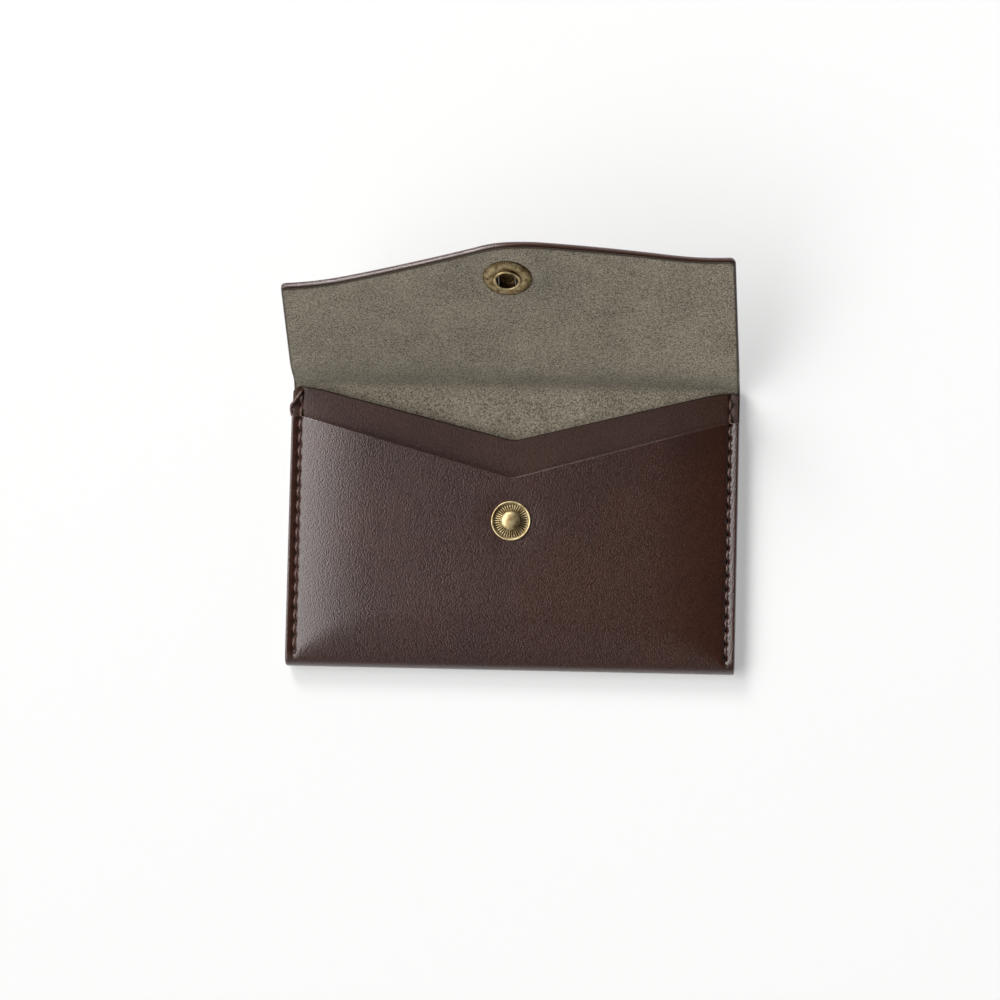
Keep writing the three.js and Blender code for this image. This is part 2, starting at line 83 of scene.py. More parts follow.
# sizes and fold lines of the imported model, in mm and degrees
joints = {joint["name"]: joint for joint in frame["joints"]}
backHigh = nodeBox("back_panel")[1]
bottomLow = nodeBox("bottom_fold")[0]
frontLow, frontHigh = nodeBox("front_panel")
dividerLow, dividerHigh = nodeBox("divider")
studLow, studHigh = nodeBox("snap_stud")
studMiddle = (studLow + studHigh) / 2
halfWidth = backHigh[0]
leatherThick = backHigh[2]
seamTop = frontLow[2] + leatherThick
crown = frontHigh[2] - seamTop
bottomRadius = seamTop / 2
bottomY = bottomLow[1] + bottomRadius
spineFold = np.array(joints["spine_fold"]["pos_m"])[1:] / mm
flapFold = np.array(joints["flap_fold"]["pos_m"])[1:] / mm
spineAngle = 90 - joints["spine_fold"]["range_deg"][1]  # upright at the upper limit
flapTurn = joints["flap_fold"]["range_deg"][1]
flapAngle = spineAngle + 90 - flapTurn  # level when both folds are closed
spineLength = float(np.hypot(*(flapFold - spineFold)))
snapReach = spineFold[0] - studMiddle[1]  # along the flap, from its fold to the snap

# the two layers of the outer sheet: inset is the depth of the middle below the outer face, offset its
# distance from the fold lines towards the inside, rim the width of the rounded edge, and trim how far
# the edges are cut back
leatherLayer = {"thick": leatherThick, "rim": 0.5, "inset": leatherThick / 2, "offset": -0.25, "trim": 0}
liningLayer = {"thick": 0.4, "rim": 0.15, "inset": 1.7, "offset": 0.75, "trim": 0.3}
paintWide = 0.55  # how far edge paint runs in from a cut edge


def smooth(t):
    # eased step: 3t^2 - 2t^3 between 0 and 1
    t = np.clip(t, 0, 1)
    return t * t * (3 - 2 * t)


def rounded(corners, steps):
    # a polyline with its corners eased: cut at a quarter of each leg, as often as steps says
    line = np.array(corners, float)
    for cut in range(steps):
        ahead = 0.75 * line[:-1] + 0.25 * line[1:]
        back = 0.25 * line[:-1] + 0.75 * line[1:]
        line = np.vstack([line[:1], np.stack([ahead, back], 1).reshape(-1, line.shape[1]), line[-1:]])
    return line


def gridFaces(ids):
    # quads between neighbouring rows and columns of a grid of vertex numbers
    return np.stack([ids[:-1, :-1], ids[:-1, 1:], ids[1:, 1:], ids[1:, :-1]], -1).reshape(-1, 4)


def makePiece(name, points, faces, material, layers=None, flatFaces=0):
    # mesh from points in mm and quads, the last flatFaces of them shaded flat between sharp edges; a
    # quad that repeats a corner becomes a triangle
    repeats = faces == np.roll(faces, -1, axis=1)
    isTriangle = repeats.any(axis=1)
    triangles = faces[isTriangle][~repeats[isTriangle]].reshape(-1, 3)
    mesh = bpy.data.meshes.new(name)
    mesh.from_pydata((points * mm).tolist(), [], triangles.tolist() + faces[~isTriangle].tolist())
    curved = np.arange(len(faces)) < len(faces) - flatFaces
    mesh.polygons.foreach_set("use_smooth", np.concatenate([curved[isTriangle], curved[~isTriangle]]))
    onCut = np.zeros(len(points), bool)
    onCut[faces[~curved]] = True
    ends = np.zeros(len(mesh.edges) * 2, np.int32)
    mesh.edges.foreach_get("vertices", ends)
    mesh.edges.foreach_set("use_edge_sharp", onCut[ends.reshape(-1, 2)].all(axis=1))
    for layer, values in (layers or {}).items():
        store = mesh.attributes.new(layer, "FLOAT", "POINT")
        store.data.foreach_set("value", np.asarray(values, np.float32).ravel())
    mesh.materials.append(material)
    mesh.update()
    piece = bpy.data.objects.new(name, mesh)
    bpy.context.scene.collection.objects.link(piece)
    return piece


def sheetPiece(name, middle, edgeGap, sheet, material, dip=0, cutRow=None):
    # sheet of leather or lining: the middle surface moved both ways along its normal by half the
    # thickness, which runs out to nothing at the border as a cubic superellipse of the gap to the
    # edge; dip sinks the outer face, and the row at cutRow has no rim and is closed flat
    along = np.gradient(middle, axis=0)
    across = np.gradient(middle, axis=1)
    normal = np.cross(across, along)
    normal /= np.linalg.norm(normal, axis=-1, keepdims=True)
    share = np.clip(edgeGap / sheet["rim"], 0, 1)
    half = sheet["thick"] / 2 * (1 - (1 - share) ** 3) ** (1 / 3)
    outer = middle - normal * (half - dip * smooth(share))[..., None]
    inner = middle + normal * half[..., None]
    rows, columns = edgeGap.shape
    outerIds = np.arange(rows * columns).reshape(rows, columns)
    own = np.zeros((rows, columns), bool)
    own[1:-1, 1:-1] = True
    if cutRow is not None:
        own[cutRow, 1:-1] = True
    innerIds = outerIds.copy()
    innerIds[own] = rows * columns + np.arange(own.sum())
    points = np.vstack([outer.reshape(-1, 3), inner[own]])
    paint = 1 - smooth(edgeGap / paintWide)
    paint = np.concatenate([paint.ravel(), paint[own]])
    faces = [gridFaces(outerIds)[:, ::-1], gridFaces(innerIds)]
    cutFaces = 0
    if cutRow is not None:
        cut = np.stack([outerIds[cutRow], innerIds[cutRow]])
        faces.append(gridFaces(cut if cutRow == 0 else cut[::-1]))
        cutFaces = columns - 1
    return makePiece(name, points, np.vstack(faces), material, {"edgePaint": paint}, cutFaces)


# materials

mixShare, mixFrom, mixTo, mixOut = 0, 6, 7, 2  # sockets of a Mix node for colours


def hexColour(code):
    # sRGB hex to linear
    parts = [int(code[i:i + 2], 16) / 255 for i in (1, 3, 5)]
    return [c / 12.92 if c <= 0.04045 else ((c + 0.055) / 1.055) ** 2.4 for c in parts] + [1]


def addNode(tree, kind, inputs=None, **settings):
    # one node with its settings; an input is linked where it gets a socket, and otherwise set
    node = tree.nodes.new(kind)
    for key, value in settings.items():
        setattr(node, key, value)
    for key, value in (inputs or {}).items():
        if isinstance(value, bpy.types.NodeSocket):
            tree.links.new(value, node.inputs[key])
        else:
            node.inputs[key].default_value = value
    return node


def newMaterial(name):
    material = bpy.data.materials.new(name)
    material.use_nodes = True
    material.node_tree.nodes.clear()
    return material, material.node_tree


def leatherMaterial(name, look):
    # finished leather: pebbles of the grain with fine wrinkles, uneven dye, painted edges
    material, tree = newMaterial(name)
    place = addNode(tree, "ShaderNodeTexCoord").outputs["Object"]
    pebbles = addNode(tree, "ShaderNodeTexVoronoi", {
        "Vector": place, "Scale": 1 / (look["pebble"] * mm), "Smoothness": 0.25,
    }, feature="SMOOTH_F1").outputs["Distance"]
    wrinkles = addNode(tree, "ShaderNodeTexNoise", {
        "Vector": place, "Scale": 1 / (look["wrinkle"] * mm), "Detail": 5, "Roughness": 0.6,
        "Distortion": 0.6,
    }).outputs["Fac"]
    clouds = addNode(tree, "ShaderNodeTexNoise", {
        "Vector": place, "Scale": 1 / (look["cloud"] * mm), "Detail": 3,
    }).outputs["Fac"]
    relief = addNode(tree, "ShaderNodeMath", {
        0: wrinkles, 1: look["wrinkleShare"], 2: pebbles,
    }, operation="MULTIPLY_ADD").outputs[0]
    bump = addNode(tree, "ShaderNodeBump", {
        "Strength": look["bump"], "Distance": look["relief"] * mm, "Height": relief,
    }, invert=True).outputs["Normal"]
    mottle = addNode(tree, "ShaderNodeMapRange", {
        "Value": clouds, "From Min": 0.3, "From Max": 0.7,
    }).outputs["Result"]
    dye = addNode(tree, "ShaderNodeMix", {
        mixShare: mottle, mixFrom: hexColour(look["dark"]), mixTo: hexColour(look["light"]),
    }, data_type="RGBA").outputs[mixOut]
    pores = addNode(tree, "ShaderNodeMapRange", {
        "Value": pebbles, "From Min": 0.2, "From Max": 0.55, "To Max": look["poreShare"],
    }).outputs["Result"]
    grained = addNode(tree, "ShaderNodeMix", {
        mixShare: pores, mixFrom: dye, mixTo: hexColour(look["pore"]),
    }, data_type="RGBA").outputs[mixOut]
    edge = addNode(tree, "ShaderNodeAttribute", attribute_name="edgePaint").outputs["Fac"]
    colour = addNode(tree, "ShaderNodeMix", {
        mixShare: edge, mixFrom: grained, mixTo: hexColour(look["edge"]),
    }, data_type="RGBA").outputs[mixOut]
    gloss = addNode(tree, "ShaderNodeMapRange", {
        "Value": wrinkles, "From Min": 0.3, "From Max": 0.7,
        "To Min": look["rough"] - look["roughSpread"], "To Max": look["rough"] + look["roughSpread"],
    }).outputs["Result"]
    shader = addNode(tree, "ShaderNodeBsdfPrincipled", {
        "Base Color": colour, "Roughness": gloss, "IOR": look["ior"], "Normal": bump,
        "Coat Weight": look["coat"], "Coat Roughness": look["rough"], "Coat Normal": bump,
    })
    addNode(tree, "ShaderNodeOutputMaterial", {"Surface": shader.outputs[0]})
    return material


# finished calf leather, dyed and lightly pebbled: dark brown with a soft broad sheen
outerLeather = leatherMaterial("calf leather pebbled", {
    "pebble": 0.35, "wrinkle": 1.2, "cloud": 14, "wrinkleShare": 0.06, "bump": 0.6, "relief": 0.085,
    "dark": "#422117", "light": "#4d2819", "pore": "#180a07", "poreShare": 0.6, "edge": "#472c24",
    "rough": 0.31, "roughSpread": 0.05, "ior": 1.5, "coat": 0.8,
})
# the same hide plated smooth, without the glossy top coat: duller and more even
dividerLeather = leatherMaterial("calf leather plated smooth", {
    "pebble": 0.35, "wrinkle": 1.4, "cloud": 14, "wrinkleShare": 0.06, "bump": 0.6, "relief": 0.1,
    "dark": "#4c3026", "light": "#583a2f", "pore": "#1d100c", "poreShare": 0.55, "edge": "#24150f",
    "rough": 0.46, "roughSpread": 0.05, "ior": 1.42, "coat": 0.0,
})

# microfibre suede, napped: matt grey-olive, with light and dark specks where the nap lies over; the
# specks are tufts, as single fibres are too fine to show
suedeLook = {
    "speck": 0.34, "cloud": 9, "cloudShare": 0.12, "napLow": 0.4, "napHigh": 0.72,
    "dark": "#4a4236", "light": "#c0b6a2", "rim": "#3f382d", "bump": 0.6, "relief": 0.2,
}
suede, tree = newMaterial("microfibre suede napped")
place = addNode(tree, "ShaderNodeTexCoord").outputs["Object"]
specks = addNode(tree, "ShaderNodeTexNoise", {
    "Vector": place, "Scale": 1 / (suedeLook["speck"] * mm), "Detail": 3, "Roughness": 0.7,
}).outputs["Fac"]
clouds = addNode(tree, "ShaderNodeTexNoise", {
    "Vector": place, "Scale": 1 / (suedeLook["cloud"] * mm), "Detail": 3,
}).outputs["Fac"]
nap = addNode(tree, "ShaderNodeMath", {
    0: clouds, 1: suedeLook["cloudShare"], 2: specks,
}, operation="MULTIPLY_ADD").outputs[0]
napShare = addNode(tree, "ShaderNodeMapRange", {
    "Value": nap, "From Min": suedeLook["napLow"], "From Max": suedeLook["napHigh"],
}).outputs["Result"]
napColour = addNode(tree, "ShaderNodeMix", {
    mixShare: napShare, mixFrom: hexColour(suedeLook["dark"]), mixTo: hexColour(suedeLook["light"]),
}, data_type="RGBA").outputs[mixOut]
suedeRim = addNode(tree, "ShaderNodeAttribute", attribute_name="edgePaint").outputs["Fac"]
suedeColour = addNode(tree, "ShaderNodeMix", {
    mixShare: suedeRim, mixFrom: napColour, mixTo: hexColour(suedeLook["rim"]),
}, data_type="RGBA").outputs[mixOut]
napBump = addNode(tree, "ShaderNodeBump", {
    "Strength": suedeLook["bump"], "Distance": suedeLook["relief"] * mm, "Height": specks,
}).outputs["Normal"]
shader = addNode(tree, "ShaderNodeBsdfPrincipled", {
    "Base Color": suedeColour, "Roughness": 0.95, "IOR": 1.45, "Specular IOR Level": 0.2,
    "Sheen Weight": 0.15, "Sheen Roughness": 0.5, "Normal": napBump,
})
addNode(tree, "ShaderNodeOutputMaterial", {"Surface": shader.outputs[0]})

# waxed polyester thread, twisted from three plies: dull brown with a faint waxy sheen; the crowns of
# the plies are painted lighter and the grooves between them darker, as painted highlight and painted
# shade; its fibres are drawn coarser than real ones so that they show
threadLook = {"fibre": 0.12, "fibreShare": 0.5, "dark": "#36251f", "light": "#6e544c", "rough": 0.42}
waxedThread, tree = newMaterial("polyester thread waxed")
place = addNode(tree, "ShaderNodeTexCoord").outputs["Object"]
fibres = addNode(tree, "ShaderNodeTexNoise", {
    "Vector": place, "Scale": 1 / (threadLook["fibre"] * mm), "Detail": 2,
}).outputs["Fac"]
# lighter on the crowns of the plies and darker in the grooves between them: painted highlight and painted
# shade
ply = addNode(tree, "ShaderNodeAttribute", attribute_name="plyCrownLight").outputs["Fac"]
fibresAndPlyShade = addNode(tree, "ShaderNodeMath", {
    0: fibres, 1: threadLook["fibreShare"], 2: ply,
}, operation="MULTIPLY_ADD", use_clamp=True).outputs[0]
threadColour = addNode(tree, "ShaderNodeMix", {
    mixShare: fibresAndPlyShade, mixFrom: hexColour(threadLook["dark"]), mixTo: hexColour(threadLook["light"]),
}, data_type="RGBA").outputs[mixOut]
shader = addNode(tree, "ShaderNodeBsdfPrincipled", {
    "Base Color": threadColour, "Roughness": threadLook["rough"], "IOR": 1.5,
})
addNode(tree, "ShaderNodeOutputMaterial", {"Surface": shader.outputs[0]})

# stamped brass, chemically darkened and rubbed back: bright on high spots, brown patches where less
# is rubbed off, brown-black in the hollows
brassLook = {
    "mark": 0.7, "markShare": 0.9, "patch": 1.7, "patchLow": 0.44, "patchHigh": 0.68, "patchShare": 0.8,
    "dark": "#4a3720", "brown": "#8c6836", "light": "#e4d1a2", "smooth": 0.48, "dull": 0.6,
}
antiqueBrass, tree = newMaterial("brass stamped and antiqued")
place = addNode(tree, "ShaderNodeTexCoord").outputs["Object"]
marks = addNode(tree, "ShaderNodeTexNoise", {
    "Vector": place, "Scale": 1 / (brassLook["mark"] * mm), "Detail": 4, "Roughness": 0.65,
}).outputs["Fac"]
rubbed = addNode(tree, "ShaderNodeAttribute", attribute_name="rubbed").outputs["Fac"]
wear = addNode(tree, "ShaderNodeMath", {
    0: marks, 1: brassLook["markShare"], 2: -brassLook["markShare"] / 2,
}, operation="MULTIPLY_ADD").outputs[0]
shine = addNode(tree, "ShaderNodeMath", {0: wear, 1: rubbed}, operation="ADD", use_clamp=True).outputs[0]
patches = addNode(tree, "ShaderNodeTexNoise", {
    "Vector": place, "Scale": 1 / (brassLook["patch"] * mm), "Detail": 3,
}).outputs["Fac"]
patchShare = addNode(tree, "ShaderNodeMapRange", {
    "Value": patches, "From Min": brassLook["patchLow"], "From Max": brassLook["patchHigh"],
    "To Max": brassLook["patchShare"],
}).outputs["Result"]
metalColour = addNode(tree, "ShaderNodeMix", {
    mixShare: patchShare, mixFrom: hexColour(brassLook["light"]), mixTo: hexColour(brassLook["brown"]),
}, data_type="RGBA").outputs[mixOut]
brassColour = addNode(tree, "ShaderNodeMix", {
    mixShare: shine, mixFrom: hexColour(brassLook["dark"]), mixTo: metalColour,
}, data_type="RGBA").outputs[mixOut]
brassGloss = addNode(tree, "ShaderNodeMapRange", {
    "Value": shine, "To Min": brassLook["dull"], "To Max": brassLook["smooth"],
}).outputs["Result"]
shader = addNode(tree, "ShaderNodeBsdfPrincipled", {
    "Base Color": brassColour, "Metallic": 1.0, "Roughness": brassGloss,
})
addNode(tree, "ShaderNodeOutputMaterial", {"Surface": shader.outputs[0]})

# hard-drawn steel wire: grey, with lighter and darker flecks from the die, drawn coarser so that they
# show
steelLook = {"fleck": 0.08, "dark": "#5f5c57", "light": "#8d8a84"}
springSteel, tree = newMaterial("steel wire drawn")
place = addNode(tree, "ShaderNodeTexCoord").outputs["Object"]
flecks = addNode(tree, "ShaderNodeTexNoise", {
    "Vector": place, "Scale": 1 / (steelLook["fleck"] * mm), "Detail": 2,
}).outputs["Fac"]
steelColour = addNode(tree, "ShaderNodeMix", {
    mixShare: flecks, mixFrom: hexColour(steelLook["dark"]), mixTo: hexColour(steelLook["light"]),
}, data_type="RGBA").outputs[mixOut]
shader = addNode(tree, "ShaderNodeBsdfPrincipled", {
    "Base Color": steelColour, "Metallic": 1.0, "Roughness": 0.3,
})
addNode(tree, "ShaderNodeOutputMaterial", {"Surface": shader.outputs[0]})
print("materials made")


# outlines, as the pattern pieces are cut

def pointedEdge(x, cut, middleLevel):
    # level of a notched or pointed edge: a parabola off the side, then straight, then a parabola
    # over the middle
    shoulder, rounding = cut["shoulder"], cut["rounding"]
    slope = (middleLevel - cut["side"]) / (halfWidth - shoulder / 2 - rounding / 2)
    fromSide = halfWidth - np.abs(x)
    run = np.where(fromSide < shoulder, fromSide ** 2 / (2 * shoulder), fromSide - shoulder / 2)
    trimmed = np.maximum(rounding - np.abs(x), 0) ** 2 / (2 * rounding)
    return cut["side"] + slope * (run - trimmed)


def cornerDrop(gap, radius):
    # how far a round corner lies below the edge, at a gap from the side
    return radius - np.sqrt(np.maximum(radius ** 2 - np.maximum(radius - gap, 0) ** 2, 0))


# side columns crowd at the rim and the seam, and open out towards the middle
halfColumns = np.array([
    0, 0.03, 0.1, 0.2, 0.34, 0.5, 0.75, 1, 1.25, 1.5, 1.7, 1.85, 2, 2.1, 2.2, 2.35, 2.5, 2.7, 3, 3.4,
    3.9, 4.5, 5.3, 6.3, 7.5, 9, 11, 13, 15.5, 18, 20.5, 23, 26, 29, 32, 35, 38, 41, 43.5, 45.5, 47, 48.2,
    49.2, 50, 50.7, 51.3, 51.9,
])
acrossColumns = np.concatenate([halfColumns - halfWidth, [0], (halfWidth - halfColumns)[::-1]])
rimSteps = np.array([0, 0.03, 0.1, 0.2, 0.34, 0.5, 0.75, 1.1])  # rows in from a cut edge

seam = {
    "inset": 2.1, "pitch": 3.2, "first": bottomY + 1.2, "holes": 20, "runOut": 2, "runOutFade": 1.5,
    "valley": 0.3, "backGroove": 0.55, "inside": 0.5, "outside": 1.3, "dividerShare": 0.5,
    "pit": 0.85, "pitWide": 0.45, "pitLong": 0.75, "backPitShare": 0.25, "sideSoft": 0.6,
}
seamX = halfWidth - seam["inset"]
lastHole = seam["first"] + seam["pitch"] * (seam["holes"] - 1)


def stitchDip(x, y, depth, pit):
    # a valley along both seams, bell-shaped and wider on the side of the edge, with a round pit at
    # each stitch hole
    fromSeam = np.abs(x) - seamX
    across = fromSeam / np.where(fromSeam > 0, seam["outside"], seam["inside"])
    phase = np.clip((y - seam["first"]) / seam["pitch"], 0, seam["holes"] - 1)
    fromHole = y - seam["first"] - np.round(phase) * seam["pitch"]
    pastFirst = smooth((y - seam["first"] + seam["runOut"]) / seam["runOutFade"])
    beforeLast = smooth((lastHole + seam["runOut"] - y) / seam["runOutFade"])
    hole = np.exp(-(fromSeam / seam["pitWide"]) ** 2 - (fromHole / seam["pitLong"]) ** 2)
    return depth * np.exp(-across ** 2) * (pastFirst * beforeLast) + pit * hole


pillow = {
    "start": 2.2, "steepRun": 19, "steepPower": 2.6, "steepShare": 0.62, "longRun": 50, "lean": 24,
    "studDip": 0.12, "studDipRadius": 6.2,
}
lean = math.radians(pillow["lean"])  # slope at which the front leaves the bottom fold


def pillowShare(x):
    # share of the crown, in from the seams: a steep rounded slope plus a long flat one
    gap = np.maximum(halfWidth - np.abs(x) - pillow["start"], 0)
    steep = 1 - np.maximum(1 - gap / pillow["steepRun"], 0) ** pillow["steepPower"]
    long = 1 - np.maximum(1 - gap / pillow["longRun"], 0) ** 2
    return pillow["steepShare"] * steep + (1 - pillow["steepShare"]) * long


def frontHeight(x, y, inset):
    # off the bottom fold at the lean, then a parabola that levels out at the pillow's height there;
    # inset is the depth below the outer face
    radius = bottomRadius - inset
    rise = radius * (1 - math.cos(lean)) + crown * pillowShare(x)
    run = 2 * rise / math.tan(lean)
    t = np.minimum((y - bottomY + radius * math.sin(lean)) / run, 1)
    return bottomRadius + radius * math.cos(lean) + rise * (1 - (1 - t) ** 2)


frontCut = {"side": frontHigh[1], "notch": 11.0, "shoulder": 5, "rounding": 1.5}


def frontEdge(x):
    # level of the front's notched top edge
    return pointedEdge(x, frontCut, frontCut["notch"])


foldRun = 3.0  # length of each fold to either side of its line
foldSteps = np.linspace(-foldRun, foldRun, 15)[1:]  # rows across a fold


def foldedPath(s, corner, angleIn, angleOut, offset):
    # a line that turns at a corner: straight before and after, and between them a parabola that
    # leaves along the one and arrives along the other; offset moves it along its normal
    angleIn, angleOut = np.radians(angleIn), np.radians(angleOut)
    t = np.clip((s + foldRun) / (2 * foldRun), 0, 1)
    before = np.minimum(s + foldRun, 0)
    after = np.maximum(s - foldRun, 0)
    goIn = np.stack([np.cos(angleIn), np.sin(angleIn)], -1)
    goOut = np.stack([np.cos(angleOut), np.sin(angleOut)], -1)
    t, before, after = t[..., None], before[..., None], after[..., None]
    way = (1 - t) * goIn + t * goOut
    way /= np.linalg.norm(way, axis=-1, keepdims=True)
    place = corner + goIn * (before - foldRun * (1 - t) ** 2) + goOut * (after + foldRun * t ** 2)
    normal = np.stack([-way[..., 1], way[..., 0]], -1)
    return place + normal * offset


def foldEnds(corner, angleIn, angleOut):
    # where a fold begins and ends, in metres: its run back along the way in and on along the way out
    goIn, goOut = math.radians(angleIn), math.radians(angleOut)
    start = (0, (corner[0] - foldRun * math.cos(goIn)) * mm, (corner[1] - foldRun * math.sin(goIn)) * mm)
    end = (0, (corner[0] + foldRun * math.cos(goOut)) * mm, (corner[1] + foldRun * math.sin(goOut)) * mm)
    return start, end


body = {"frontRows": 136, "foldRows": 18, "backRows": 132, "spineRows": 4, "spineCut": 4.7}
frontEnd = len(rimSteps) + body["frontRows"] - 1  # rows of the sheet at which its parts change
backStart = frontEnd + body["foldRows"] - 1
backEnd = backStart + body["backRows"] - 1


def bodySheet(layer):
    # the folded body sheet: down the front, half round the bottom fold, up the back and onto the
    # spine
    inset, trim = layer["inset"], layer["trim"]
    x = np.broadcast_to(acrossColumns * (halfWidth - trim) / halfWidth, (1, len(acrossColumns)))
    top = frontEdge(x) - trim
    rim = top - rimSteps[:, None]
    down = np.linspace(0, 1, body["frontRows"])[1:, None]
    foldTop = bottomY - (bottomRadius - inset) * math.sin(lean)
    frontY = np.vstack([rim, rim[-1] + (foldTop - rim[-1]) * down])
    frontZ = frontHeight(x, frontY, inset)
    fromStud = np.hypot(x - studMiddle[0], frontY - studMiddle[1])
    frontZ -= pillow["studDip"] * np.exp(-(fromStud / pillow["studDipRadius"]) ** 4)
    turn = np.linspace(lean, math.pi, body["foldRows"])[1:, None]
    foldY = bottomY - (bottomRadius - inset) * np.sin(turn) + 0 * x
    foldZ = bottomRadius + (bottomRadius - inset) * np.cos(turn) + 0 * x
    backY = np.linspace(bottomY, spineFold[0] - foldRun, body["backRows"])[1:, None] + 0 * x
    backZ = inset + 0 * backY
    s = np.concatenate([foldSteps, np.linspace(foldRun, body["spineCut"], body["spineRows"])[1:]])
    spine = foldedPath(s, spineFold, 0, spineAngle, layer["offset"])
    y = np.vstack([frontY, foldY, backY, spine[:, :1] + 0 * x])
    z = np.vstack([frontZ, foldZ, backZ, spine[:, 1:] + 0 * x])
    middle = np.stack([np.broadcast_to(x, y.shape), y, z], -1)
    soft = np.full(y.shape, seam["sideSoft"])  # sewn sides are rubbed rounder than the spine's
    soft[backEnd:] += (1 - seam["sideSoft"]) * smooth((s[:, None] + foldRun) / (2 * foldRun))
    gap = soft * (halfWidth - trim - np.abs(middle[..., 0]))
    gap[:frontEnd] = np.minimum(gap[:frontEnd], top - frontY)
    return middle, gap


middle, gap = bodySheet(leatherLayer)
x, y = middle[..., 0], middle[..., 1]
dip = np.zeros(gap.shape)
dip[:frontEnd] = stitchDip(x, y, seam["valley"], seam["pit"])[:frontEnd]
backDip = stitchDip(x, y, seam["backGroove"], seam["pit"] * seam["backPitShare"])
dip[backStart:backEnd] = backDip[backStart:backEnd]
bodyLeather = sheetPiece("body_leather", middle, gap, leatherLayer, outerLeather, dip=dip, cutRow=-1)
middle, gap = bodySheet(liningLayer)
bodyLining = sheetPiece("body_lining", middle, gap, liningLayer, suede, cutRow=-1)
foldStart, foldEnd = foldEnds(spineFold, 0, spineAngle)
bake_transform(bodyLeather, "pocket", "spine", foldStart, foldEnd)
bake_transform(bodyLining, "pocket", "spine", foldStart, foldEnd)
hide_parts("back_panel", "bottom_fold", "front_panel", "spine")
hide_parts("back_lining", "bottom_fold_lining", "front_lining", "spine_lining")
print("body:", len(bodyLeather.data.polygons), "and", len(bodyLining.data.polygons), "faces")

flapCut = {
    "side": 32.3, "tip": 42.5, "shoulder": 16, "rounding": 6, "corner": 1.3, "taper": 0.9,
    "leftTwist": 7.2, "leftEase": 1.3, "rightTwist": -11.9, "seat": 5.9, "seatFade": 5.5,
    "mouth": 2.9, "mouthFade": 0.5, "mouthSink": 0.75, "rootRows": 3, "rows": 70,
}


def flapTwist(x, s):
    # degrees by which the open flap stands up more at the left, easing off to the side, and lies
    # further back at the right, evenly; nothing on the round seat under the snap
    t = np.abs(x) / halfWidth
    left = flapCut["leftTwist"] * (1 - np.maximum(1 - t, 0) ** flapCut["leftEase"])
    turn = np.where(x < 0, left, flapCut["rightTwist"] * t)
    return turn * smooth((np.hypot(x, s - snapReach) - flapCut["seat"]) / flapCut["seatFade"])


def flapSheet(layer):
    # upper half of the spine and the flap: rows run up to the cut edge, columns draw in with the
    # taper, and the sheet is sunk inside the socket
    trim = layer["trim"]
    wide = acrossColumns[None] * (halfWidth - trim) / halfWidth
    edgeX = wide * (halfWidth - flapCut["taper"]) / halfWidth
    top = pointedEdge(edgeX, flapCut, flapCut["tip"]) - trim
    top = top - cornerDrop(halfWidth - trim - np.abs(wide), flapCut["corner"])
    low = body["spineCut"] - spineLength
    root = np.concatenate([np.linspace(low, -foldRun, flapCut["rootRows"]), foldSteps])[:, None]
    rim = top - rimSteps[::-1, None]
    up = np.linspace(0, 1, flapCut["rows"])[1:-1, None]
    s = np.vstack([root + 0 * wide, foldRun + (rim[:1] - foldRun) * up, rim])
    x = wide * (1 - flapCut["taper"] / halfWidth * np.clip(s / flapCut["side"], 0, 1))
    fromSnap = np.hypot(x, s - snapReach)
    sink = flapCut["mouthSink"] * smooth((flapCut["mouth"] - fromSnap) / flapCut["mouthFade"])
    angleOut = flapAngle + flapTwist(x, s)
    path = foldedPath(s, flapFold, spineAngle + 0 * s, angleOut, (layer["offset"] - sink)[..., None])
    middle = np.concatenate([x[..., None], path], -1)
    gap = np.minimum(halfWidth - trim - np.abs(wide), top - s)
    return middle, gap


def flapBlend(piece):
    # turns with the flap past its fold; a side that stands steeper turns less and a flatter side
    # more, so that the closed flap lies flat
    start, end = foldEnds(flapFold, spineAngle, flapAngle)
    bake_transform(piece, "spine", "flap", start, end)
    count = len(piece.data.vertices)
    spots = np.zeros(count * 3, np.float32)
    piece.data.vertices.foreach_get("co", spots)
    x, y, z = spots.reshape(-1, 3).T / mm
    share = np.zeros(count, np.float32)
    layer = piece.data.attributes["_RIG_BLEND"].data
    layer.foreach_get("value", share)
    share *= 1 - flapTwist(x, np.hypot(y - flapFold[0], z - flapFold[1])) / flapTurn
    layer.foreach_set("value", share.astype(np.float32))


middle, gap = flapSheet(leatherLayer)
flapLeather = sheetPiece("flap_sheet", middle, gap, leatherLayer, outerLeather, cutRow=0)
middle, gap = flapSheet(liningLayer)
flapLining = sheetPiece("flap_suede", middle, gap, liningLayer, suede, cutRow=0)
for piece, nodes, slot in ((flapLeather, ["flap_leather"], "outer_leather"),
                           (flapLining, ["flap_lining"], "suede_lining")):
    flapBlend(piece)
    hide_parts(*nodes)
print("flap:", len(flapLeather.data.polygons), "and", len(flapLining.data.polygons), "faces")

dividerCut = {
    "side": dividerHigh[1], "notch": 19.9, "shoulder": 8, "rounding": 1.5, "corner": 1.7,
    "thick": 1.2, "rim": 0.45, "rise": 1.3, "riseRun": 9, "rows": 130,
}


def dividerSheet():
    # flat behind the front, rising with the pillow as a parabola off the bottom
    x = acrossColumns[None]
    top = pointedEdge(x, dividerCut, dividerCut["notch"])
    top = top - cornerDrop(halfWidth - np.abs(x), dividerCut["corner"])
    low = dividerLow[1]
    rim = top - rimSteps[:, None]
    lowRim = low + rimSteps[::-1, None][1:] + 0 * x
    down = np.linspace(0, 1, dividerCut["rows"])[1:, None]
    y = np.vstack([rim, rim[-1] + (low + rimSteps[-1] - rim[-1]) * down, lowRim])
    upward = 1 - (1 - np.clip((y - bottomY) / dividerCut["riseRun"], 0, 1)) ** 2
    z = dividerLow[2] + dividerCut["thick"] / 2 + dividerCut["rise"] * pillowShare(x) * upward
    middle = np.stack([np.broadcast_to(x, y.shape), y, z], -1)
    gap = np.minimum(np.minimum(halfWidth - np.abs(middle[..., 0]), top - y), y - low)
    return middle, gap


